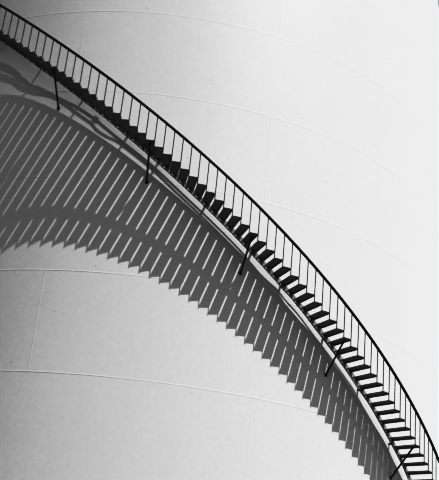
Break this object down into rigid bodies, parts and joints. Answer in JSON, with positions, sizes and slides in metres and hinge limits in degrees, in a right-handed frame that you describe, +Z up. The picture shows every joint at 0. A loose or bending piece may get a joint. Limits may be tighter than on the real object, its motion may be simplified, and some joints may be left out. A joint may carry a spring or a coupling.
{
  "type": "vertical storage tank",
  "caption": "Upright cylindrical welded steel tank with a low cone roof and an open helical stair and handrail climbing round the outside of its shell to a landing at the roof.",
  "frame": {"origin": "on the tank's axis at the underside of its bottom plate, at ground level", "axes": "+Z up along the tank's axis; -Y towards the picture's camera; the stair comes down from -X, past -Y, to +X"},
  "size_m": [24.3399, 23.4898, 32.2147],
  "materials": {
    "shell_paint": "satin",
    "roof_paint": "satin",
    "bottom_steel": "matte",
    "fitting_paint": "satin",
    "stair_paint": "satin",
    "rail_paint": "satin"
  },
  "bodies": {
    "root": {"bottom_plate": "bottom_steel", "shell_course_01": "shell_paint", "shell_course_02": "shell_paint", "shell_course_03": "shell_paint", "shell_course_04": "shell_paint", "shell_course_05": "shell_paint", "shell_course_06": "shell_paint", "shell_course_07": "shell_paint", "shell_course_08": "shell_paint", "shell_course_09": "shell_paint", "shell_course_10": "shell_paint", "curb_angle": "shell_paint", "roof_plate": "roof_paint", "roof_vent": "fitting_paint", "roof_hatch": "fitting_paint", "manway_neck": "fitting_paint", "manway_cover": "fitting_paint", "stair_flight_01": "stair_paint", "stair_flight_02": "stair_paint", "stair_flight_03": "stair_paint", "stair_flight_04": "stair_paint", "stair_flight_05": "stair_paint", "stair_flight_06": "stair_paint", "stair_flight_07": "stair_paint", "stair_flight_08": "stair_paint", "stair_flight_09": "stair_paint", "stair_flight_10": "stair_paint", "stair_flight_11": "stair_paint", "stair_flight_12": "stair_paint", "handrail_01": "rail_paint", "handrail_02": "rail_paint", "handrail_03": "rail_paint", "handrail_04": "rail_paint", "handrail_05": "rail_paint", "handrail_06": "rail_paint", "handrail_07": "rail_paint", "handrail_08": "rail_paint", "handrail_09": "rail_paint", "handrail_10": "rail_paint", "handrail_11": "rail_paint", "handrail_12": "rail_paint", "landing_floor": "stair_paint", "landing_guard": "rail_paint"}
  },
  "joints": []
}
